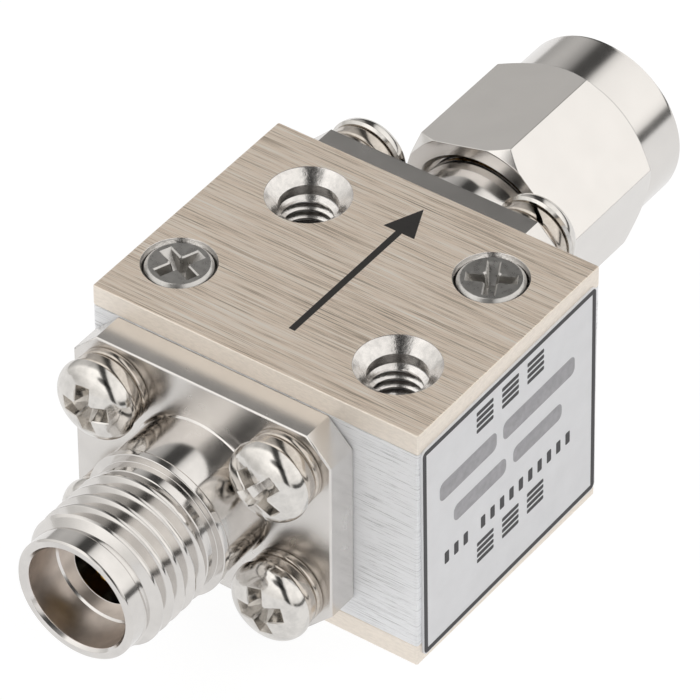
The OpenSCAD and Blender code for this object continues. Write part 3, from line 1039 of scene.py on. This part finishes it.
class ISOLATOR_OT_cover_screws(bpy.types.Operator):
    """Builds the countersunk screws that hold the covers"""

    bl_idname = "isolator.cover_screws"
    bl_label = "Cover screws"

    def execute(self, context):
        steel = plated("nickel_plated_tumbled", colour("cover_screw"), (0.2, 0.38), 0.3, 0.005)
        head = TOP - 0.012
        thread_r = 0.77
        tip = -3.6
        for side, place in (("top", Matrix()), ("bottom", UNDER)):
            whole = bmesh.new()
            for spot, turn in zip(COVER_SPOTS, COVER_TURNS):
                blank = lathe([
                    (tip, 0), (tip, thread_r - 0.3), (tip + 0.3, thread_r), (-0.8, thread_r),
                    (-0.15, 1.42, 0.03), (0, 1.27, 0.03), (0, 0),
                ], 72, closed=False)
                cutter = cross_cutter([
                    (even(0.3), 0.63, 2.17), (even(0.03), 0.63, 2.17), (even(-0.06), 0.45, 2.0),
                    (even(-0.3), 0.36, 1.7), (even(-0.7), 0.25, 0.7),
                ], turn)
                add_shape(whole, carve(blank, cutter), place @ Matrix.Translation((*spot, head)))
            keep(
                whole, f"{side}_countersunk_screws", steel, "block",
                (f"{side}_cover_screws",), smooth=30,
            )
        return {"FINISHED"}


def printed_bar(width, height, corner, thickness):
    """Flat bar with rounded corners about the origin, standing on Z = 0."""
    return bar((0, 0, thickness / 2), (width, height, thickness), corner, segments=5)


class ISOLATOR_OT_label(bpy.types.Operator):
    """Builds the film label with its printed border and plain bars"""

    bl_idname = "isolator.label"
    bl_label = "Label"

    def execute(self, context):
        size = sizes()
        width = 12.05
        height = 10.85
        corner = 0.27
        film = 0.092
        ink = 0.006
        margin = 0.05
        tilt = math.radians(1.0)
        line = size["label_line"]
        sheet = satin(
            "label_film", colour("film"), 0.38, 1.2, 0.05, Coat_Weight=0.15, Coat_Roughness=0.25)
        dark = satin("label_ink", colour("ink"), 0.5, 0.12, 0.25)
        soft = satin("label_soft_ink", colour("soft_ink"), 0.5, 0.3, 0.2)
        middle = (LABEL_LOW + LABEL_HIGH) / 2
        place = (
            Matrix.Translation((BLOCK_HIGH.x, middle.y, middle.z))
            @ Matrix(((0, 0, 1, 0), (1, 0, 0, 0), (0, 1, 0, 0), (0, 0, 0, 1)))
            @ Matrix.Rotation(tilt, 4, "Z")
        )
        body = bmesh.new()
        add_shape(body, printed_bar(width, height, corner, film), place)
        keep(body, "film_label", sheet, "block", ("label",))
        raised = place @ Matrix.Translation((0, 0, film))
        border = printed_bar(width - 2 * margin, height - 2 * margin, corner - 0.04, ink)
        border.normal_update()
        faces = [f for f in border.faces if abs(f.normal.z) > 0.9]
        bmesh.ops.inset_individual(border, faces=faces, thickness=line, use_even_offset=True)
        inner = [f for f in faces if f.is_valid]
        rims = [e for f in inner for e in f.edges]
        bmesh.ops.delete(border, geom=inner, context="FACES_ONLY")
        bmesh.ops.bridge_loops(border, edges=rims)
        whole = bmesh.new()
        add_shape(whole, border, raised)
        # Plain bars: (middle along, middle up, width, height, how many, step to the next)
        stacks = [(x, y, 1.15, 0.2, 4, (0, 0.3)) for y in (3.8, -3.15) for x in (-1.75, 0.0, 1.75)]
        marks = [(-4.4, -1.26, 0.3, 0.62, 3, (0.65, 0)), (-1.9, -1.26, 0.3, 0.62, 10, (0.66, 0))]
        for x, y, w, h, count, (across, up) in stacks + marks:
            for i in range(count):
                spot = Matrix.Translation((x + i * across, y + i * up, 0))
                add_shape(whole, printed_bar(w, h, 0.06, ink), raised @ spot)
        keep(whole, "label_print", dark, "block")
        faint = bmesh.new()
        faint_bars = [
            (-2.9, 2.4, 3.9, 0.95), (2.0, 2.4, 5.0, 0.95), (-2.1, 0.6, 3.6, 0.85), (1.9, 0.6, 3.4, 0.85),
        ]
        for x, y, w, h in faint_bars:
            add_shape(faint, printed_bar(w, h, 0.3, ink), raised @ Matrix.Translation((x, y, 0)))
        keep(faint, "label_faint_print", soft, "block")
        return {"FINISHED"}


class ISOLATOR_OT_arrow(bpy.types.Operator):
    """Builds the direction arrow printed on the top cover"""

    bl_idname = "isolator.arrow"
    bl_label = "Direction arrow"

    def execute(self, context):
        size = sizes()
        length = size["arrow_length"]
        line = size["arrow_line"]
        head = size["arrow_head"]
        ink = satin("arrow_ink", colour("arrow"), 0.55, 0.15, 0.3)
        head_length = head * 1.15
        tip_r = head_length * 2 / 3
        reach = length - head_length
        shape = bmesh.new()
        bmesh.ops.create_grid(
            shape, x_segments=1, y_segments=1, size=0.5,
            matrix=Matrix.Translation((0, -length / 2 + reach / 2, 0))
            @ Matrix.Diagonal((line, reach, 1, 1)),
        )
        tip = bmesh.ops.create_circle(shape, cap_ends=True, segments=3, radius=1)["verts"]
        bmesh.ops.transform(
            shape, verts=tip,
            matrix=Matrix.Translation((0, length / 2 - tip_r, 0))
            @ Matrix.Diagonal((head / math.sqrt(3), tip_r, 1, 1)),
        )
        grown = bmesh.ops.extrude_face_region(shape, geom=list(shape.faces), use_keep_orig=True)["geom"]
        bmesh.ops.translate(
            shape, vec=(0, 0, PRINT_ROOM), verts=[g for g in grown if isinstance(g, bmesh.types.BMVert)])
        whole = bmesh.new()
        add_shape(whole, shape, Matrix.Translation((1.6, 0.6, TOP - PRINT_ROOM - 0.0005)))
        keep(whole, "direction_arrow", ink, "block")
        return {"FINISHED"}


class ISOLATOR_OT_inner_parts(bpy.types.Operator):
    """Gives the contacts, beads, ring and the sealed magnetic junction their finishes"""

    bl_idname = "isolator.inner_parts"
    bl_label = "Contacts and junction"

    def execute(self, context):
        gold = plated("gold_plated_contact", colour("gold"), (0.15, 0.3), 0.2, 0.002)
        bronze = plated("spring_bronze_bright", opaque("C79A5B"), (0.2, 0.35), 0.3, 0.003)
        copper = plated("copper_strip_etched", opaque("D08E5A"), (0.3, 0.45), 0.4, 0.003)
        magnet = plated("magnet_nickel_plated", opaque("C9CBCD"), (0.2, 0.35), 0.6, 0.004)
        pole = turned_metal("pole_steel_turned", opaque("A9ABAD"), (0.3, 0.42), 0.001)
        ferrite = satin("ferrite_ground", opaque("3A3A3C"), 0.45, 0.2, 0.3)
        ceramic = satin("load_ceramic", opaque("E7E4DC"), 0.5, 0.3, 0.06)
        bead = satin("bead_insulator", opaque("E9E2D2"), 0.42, 0.5, 0.05)
        for material, nodes in (
            (gold, ("jack_contact", "plug_pin")),
            (bronze, ("retaining_ring",)),
            (copper, ("centre_conductor",)),
            (magnet, ("top_magnet", "bottom_magnet")),
            (pole, ("top_pole_piece", "bottom_pole_piece")),
            (ferrite, ("top_ferrite", "bottom_ferrite")),
            (ceramic, ("load",)),
            (bead, ("jack_bead", "plug_bead")),
        ):
            for node in nodes:
                dress(node, material)
        return {"FINISHED"}


class ISOLATOR_OT_stage(bpy.types.Operator):
    """Builds the pale floor, the soft studio light and the camera"""

    bl_idname = "isolator.stage"
    bl_label = "Floor, light and camera"

    def execute(self, context):
        self.floor()
        self.light()
        self.camera()
        context.scene.view_settings.view_transform = "Standard"
        return {"FINISHED"}

    def floor(self):
        """A pale table top that shows white to the camera and in mirrors, and keeps a soft shadow."""
        radius = 0.16
        below = 0.00001
        white_level = 1.12
        camera_share = 0.82
        mirror_share = 0.68
        shape = bmesh.new()
        bmesh.ops.create_circle(
            shape, cap_ends=True, segments=96, radius=radius, matrix=Matrix.Translation((0, 0, -below)))
        mesh = bpy.data.meshes.new("studio_floor")
        shape.to_mesh(mesh)
        shape.free()
        material = bpy.data.materials.new("studio_floor_matte")
        material.use_nodes = True
        tree = material.node_tree
        tree.nodes.clear()
        paths = add(tree, "LightPath")
        plain = add(tree, "BsdfDiffuse", {"Color": colour("floor")})
        white = add(tree, "Emission", {"Color": WHITE, "Strength": white_level})
        mirrored = add(tree, "Math", {"operation": "MULTIPLY", 1: mirror_share}, {
            0: paths.outputs["Is Glossy Ray"],
        })
        share = add(tree, "Math", {"operation": "MULTIPLY_ADD", 1: camera_share}, {
            0: paths.outputs["Is Camera Ray"], 2: mirrored.outputs[0],
        })
        mixed = add(tree, "MixShader", {}, {
            "Fac": share.outputs[0], 1: plain.outputs[0], 2: white.outputs[0],
        })
        add(tree, "OutputMaterial", {}, {"Surface": mixed.outputs[0]})
        mesh.materials.append(material)
        new_object("studio_floor", mesh)

    def light(self):
        """Two large soft boxes overhead with a dark gap between them, which the polished steel mirrors."""
        world = bpy.data.worlds.new("light_tent")
        world.use_nodes = True
        bpy.context.scene.world = world
        tree = world.node_tree
        tree.nodes.clear()
        where = add(tree, "TexCoord").outputs["Generated"]
        to_right = (0.88, 0.47, -0.03)
        across = add(tree, "VectorMath", {"operation": "DOT_PRODUCT", 1: to_right}, {0: where})
        share = add(tree, "MapRange", {"From Min": -1.0}, {"Value": across.outputs["Value"]})
        warm = (1.0, 0.985, 0.96)
        # Bands of (place from left to right, level): the dark gap is the same in front and behind
        gap = [(-0.15, 0.32), (-0.08, 0.07), (0.12, 0.06), (0.19, 0.85)]
        halves = []
        for bands in (
            [(-1, 0.95), (-0.7, 1.3), (-0.24, 1.42), *gap, (0.3, 1.2), (1, 1.05)],
            [(-1, 0.78), (-0.5, 0.66), (-0.26, 0.56), *gap, (0.3, 1.12), (1, 1.25)],
        ):
            halves.append(stops(add(tree, "ValToRGB", {}, {"Fac": share.outputs["Result"]}), [
                ((place + 1) / 2, scaled(warm, level)) for place, level in bands
            ]).outputs["Color"])
        parts = add(tree, "SeparateXYZ", {}, {"Vector": where})
        back = add(tree, "MapRange", {"From Min": -0.12, "From Max": 0.12}, {
            "Value": parts.outputs["Y"],
        })
        tent = add(tree, "Mix", {"data_type": "RGBA"}, {
            0: back.outputs["Result"], 6: halves[0], 7: halves[1],
        }).outputs[2]
        level = add(tree, "MapRange", {"From Min": 0.02, "From Max": 0.3, "To Min": 0.7}, {
            "Value": parts.outputs["Z"],
        }).outputs["Result"]
        # Right of the gap, the far table edge is a narrow dark line
        right = add(tree, "MapRange", {"From Min": 0.3, "From Max": 0.5}, {
            "Value": across.outputs["Value"],
        })
        line = add(tree, "MapRange", {"From Min": 0.09, "From Max": 0.14, "To Min": 0.12}, {
            "Value": parts.outputs["Z"],
        })
        shade = add(tree, "Mix", {"data_type": "FLOAT", 2: 1.0}, {
            0: right.outputs["Result"], 3: line.outputs["Result"],
        })
        level = add(tree, "Math", {"operation": "MULTIPLY"}, {
            0: level, 1: shade.outputs[0],
        }).outputs[0]
        # The camera and its stand darken two spots of the tent: (direction, inner, outer, level)
        for spot, inner, outer, left in (
            ((0.15, -0.64, 0.75), 10, 18, 0.15),
            ((0.44, -0.61, 0.65), 6, 12, 0.25),
        ):
            near = add(tree, "VectorMath", {"operation": "DOT_PRODUCT", 1: spot}, {0: where})
            shade = add(tree, "MapRange", {
                "From Min": math.cos(math.radians(outer)), "From Max": math.cos(math.radians(inner)),
                "To Min": 1.0, "To Max": left,
            }, {"Value": near.outputs["Value"]})
            level = add(tree, "Math", {"operation": "MULTIPLY"}, {
                0: level, 1: shade.outputs["Result"],
            }).outputs[0]
        paths = add(tree, "LightPath")
        lit = add(tree, "Background", {}, {"Color": tent, "Strength": level})
        white = add(tree, "Background", {"Color": WHITE, "Strength": 1.0})
        mixed = add(tree, "MixShader", {}, {
            "Fac": paths.outputs["Is Camera Ray"], 1: lit.outputs[0], 2: white.outputs[0],
        })
        add(tree, "OutputWorld", {}, {"Surface": mixed.outputs[0]})

    def camera(self):
        """The photograph's view, worked out from the block, the flange, the thread and the hexagon."""
        azimuth = math.radians(35.6901)
        elevation = math.radians(40.8405)
        roll = math.radians(-0.2734)
        focus = 7066.26
        photo_width = 700
        spot = Vector((0.12586, -0.17298, 0.19239))
        data = bpy.data.cameras.new("photo_camera")
        data.sensor_width = 36
        data.lens = focus / photo_width * data.sensor_width
        data.clip_start = 0.01
        data.clip_end = 10
        camera = new_object("photo_camera", data)
        turn = (
            Matrix.Rotation(azimuth, 4, "Z") @ Matrix.Rotation(math.pi / 2 - elevation, 4, "X")
            @ Matrix.Rotation(roll, 4, "Z")
        )
        camera.matrix_world = Matrix.Translation(spot) @ turn
        bpy.context.scene.camera = camera


STEPS = (
    ISOLATOR_OT_stage, ISOLATOR_OT_covers, ISOLATOR_OT_block, ISOLATOR_OT_jack, ISOLATOR_OT_plug,
    ISOLATOR_OT_nut, ISOLATOR_OT_flange_fasteners, ISOLATOR_OT_cover_screws, ISOLATOR_OT_label,
    ISOLATOR_OT_arrow, ISOLATOR_OT_inner_parts,
)


class VIEW3D_PT_isolator(bpy.types.Panel):
    """Buttons and settings in the 3D view's sidebar"""

    bl_label = "Coaxial isolator"
    bl_idname = "VIEW3D_PT_isolator"
    bl_space_type = "VIEW_3D"
    bl_region_type = "UI"
    bl_category = "Isolator"

    def draw(self, context):
        for step in STEPS:
            self.layout.operator(step.bl_idname)
        for group in (context.scene.isolator_sizes, context.scene.isolator_colours):
            box = self.layout.box()
            for name in group.__annotations__:
                box.prop(group, name)


CLASSES = (IsolatorSizes, IsolatorColours, *STEPS, VIEW3D_PT_isolator)


def register():
    """Registers the classes and hangs the settings on the scene."""
    for item in CLASSES:
        bpy.utils.register_class(item)
    bpy.types.Scene.isolator_sizes = bpy.props.PointerProperty(type=IsolatorSizes)
    bpy.types.Scene.isolator_colours = bpy.props.PointerProperty(type=IsolatorColours)


def unregister():
    """Takes the settings and the classes away again."""
    del bpy.types.Scene.isolator_colours
    del bpy.types.Scene.isolator_sizes
    for item in reversed(CLASSES):
        bpy.utils.unregister_class(item)


def main():
    register()
    bpy.ops.isolator.stage()
    bpy.ops.isolator.covers()
    bpy.ops.isolator.block()
    bpy.ops.isolator.jack()
    bpy.ops.isolator.plug()
    bpy.ops.isolator.nut()
    bpy.ops.isolator.flange_fasteners()
    bpy.ops.isolator.cover_screws()
    bpy.ops.isolator.label()
    bpy.ops.isolator.arrow()
    bpy.ops.isolator.inner_parts()


if __name__ == "__main__":
    main()
